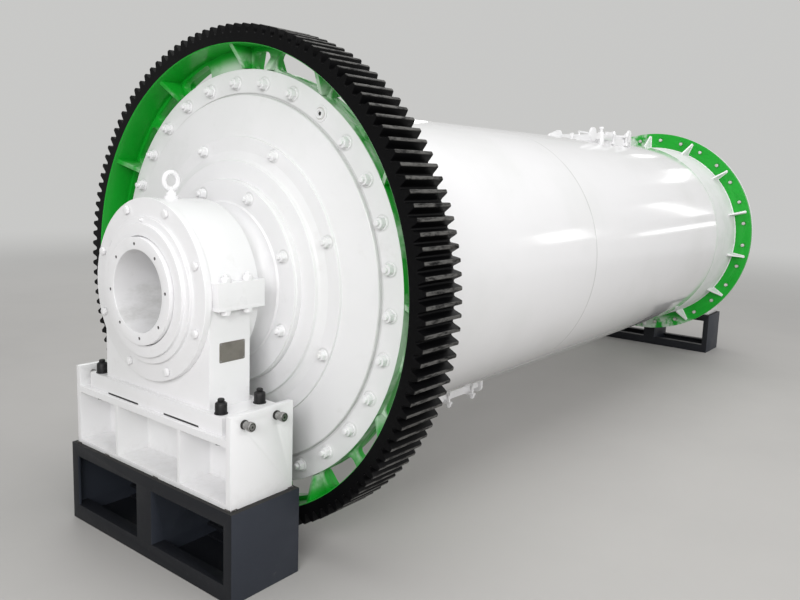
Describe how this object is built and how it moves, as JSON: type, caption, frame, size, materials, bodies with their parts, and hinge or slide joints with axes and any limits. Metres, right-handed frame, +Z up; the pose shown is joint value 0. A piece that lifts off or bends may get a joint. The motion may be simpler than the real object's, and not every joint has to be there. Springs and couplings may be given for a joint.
{
  "type": "ball mill",
  "caption": "Horizontal ball mill: bolted drum with a toothed girth gear at one end, hollow trunnions in split bearing housings, on welded floor stands.",
  "frame": {"origin": "on the floor under the middle of the mill", "axes": "+X along the mill axis from the gear end to the far end, +Z up"},
  "size_m": [5.88, 2.1116, 2.141],
  "materials": {
    "white_enamel": "gloss",
    "green_enamel": "gloss",
    "gear_black": "satin",
    "stand_grey": "satin",
    "black_oxide": "satin",
    "bare_steel": "satin",
    "plate_metal": "brushed"
  },
  "bodies": {
    "frame": {"near_stand": "stand_grey", "far_stand": "stand_grey", "near_bearing_base": "white_enamel", "far_bearing_base": "white_enamel", "near_shims": "black_oxide", "far_shims": "black_oxide", "near_housing": "white_enamel", "far_housing": "white_enamel", "near_cap": "white_enamel", "far_cap": "white_enamel", "near_outer_cover": "white_enamel", "far_outer_cover": "white_enamel", "near_inner_cover": "white_enamel", "far_inner_cover": "white_enamel", "near_bearing": "bare_steel", "far_bearing": "bare_steel", "near_anchor_bolts": "black_oxide", "far_anchor_bolts": "black_oxide", "near_jack_screws": "bare_steel", "far_jack_screws": "bare_steel", "near_cap_bolts": "white_enamel", "far_cap_bolts": "white_enamel", "near_eye_bolt": "white_enamel", "far_eye_bolt": "white_enamel", "nameplate": "plate_metal"},
    "drum": {"shell": "white_enamel", "near_shell_flange": "green_enamel", "far_shell_flange": "green_enamel", "flange_gussets": "white_enamel", "near_head": "white_enamel", "far_head": "white_enamel", "near_trunnion": "white_enamel", "far_trunnion": "white_enamel", "gear_rim": "gear_black", "gear_web": "green_enamel", "gear_ribs": "green_enamel", "near_flange_bolts": "white_enamel", "far_flange_bolts": "white_enamel", "near_head_bolts": "white_enamel", "far_head_bolts": "white_enamel", "top_manhole_frame": "white_enamel", "top_manhole_cover": "white_enamel", "bottom_manhole_frame": "white_enamel", "bottom_manhole_cover": "white_enamel"}
  },
  "joints": [
    {"name": "drum_spin", "type": "hinge", "parent": "frame", "child": "drum", "pos_m": [0, 0, 1.085], "axis": [1, 0, 0], "continuous": true}
  ]
}
